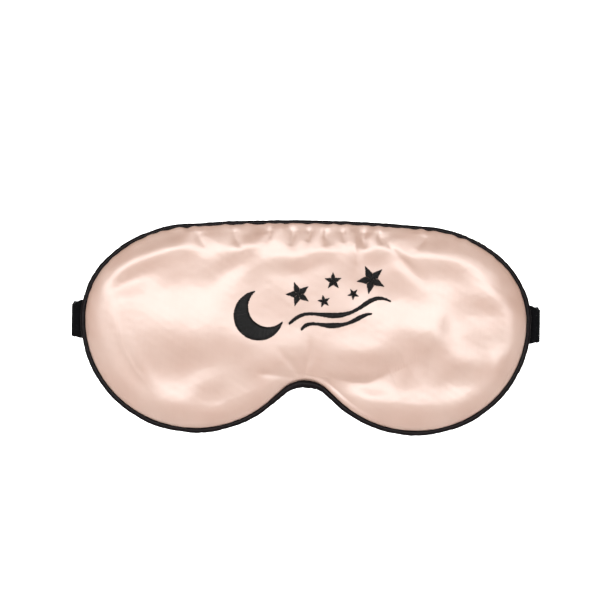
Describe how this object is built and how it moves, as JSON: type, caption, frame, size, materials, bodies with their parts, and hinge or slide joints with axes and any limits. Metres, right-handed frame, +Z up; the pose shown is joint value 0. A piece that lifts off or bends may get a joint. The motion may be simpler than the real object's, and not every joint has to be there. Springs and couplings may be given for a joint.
{
  "type": "sleep eye mask",
  "caption": "Padded satin sleep mask with black piping and an embroidered moon and stars, on an elastic strap with a ring and a sliding adjuster.",
  "frame": {"origin": "in the seam plane of the mask, midway between the two sewn ends of the strap, at the height of the eyes", "axes": "+X to the right of a viewer facing the front, +Z up towards the forehead, and the front faces -Y; the strap goes back along +Y"},
  "size_m": [0.2198, 0.0786, 0.0998],
  "materials": {
    "pink_satin": "satin",
    "black_satin": "satin",
    "wadding": "matte",
    "blackout_cloth": "matte",
    "cotton_cord": "matte",
    "black_thread": "satin",
    "embroidery_thread": "satin",
    "stabiliser": "matte",
    "black_elastic": "matte",
    "black_plastic": "gloss"
  },
  "bodies": {
    "mask": {"front_panel": "pink_satin", "back_panel": "pink_satin", "front_wadding": "wadding", "back_wadding": "wadding", "blackout_liner": "blackout_cloth", "piping_cover": "black_satin", "piping_cord": "cotton_cord", "seam_needle_thread": "black_thread", "seam_bobbin_thread": "black_thread", "left_anchor_stitches": "black_thread", "right_anchor_stitches": "black_thread", "embroidered_moon": "embroidery_thread", "embroidered_stars": "embroidery_thread", "embroidered_swashes": "embroidery_thread", "embroidery_backing": "stabiliser"},
    "strap": {"short_strap_arm": "black_elastic", "long_strap_arm": "black_elastic"},
    "strap_back": {"short_strap_end": "black_elastic", "short_strap_stitches": "black_thread", "strap_ring": "black_plastic", "long_strap_back": "black_elastic", "long_strap_return": "black_elastic"},
    "adjuster": {"slider": "black_plastic", "long_strap_tail": "black_elastic", "long_strap_stitches": "black_thread"}
  },
  "joints": [
    {"name": "strap_swing", "type": "hinge", "parent": "mask", "child": "strap", "pos_m": [0, 0.002, 0], "axis": [1, 0, 0], "range_deg": [-80, 80], "stiffness_Nm_per_rad": 0.02, "springref_deg": 1.83, "deforming": ["short_strap_arm", "long_strap_arm"]},
    {"name": "strap_stretch", "type": "slide", "parent": "strap", "child": "strap_back", "axis": [0, 1, 0], "range_m": [0, 0.09], "stiffness_N_per_m": 60, "deforming": ["short_strap_arm", "long_strap_arm"]},
    {"name": "adjuster_slide", "type": "slide", "parent": "strap_back", "child": "adjuster", "axis": [1, 0, 0], "range_m": [-0.022, 0.038], "deforming": ["long_strap_return"]}
  ]
}
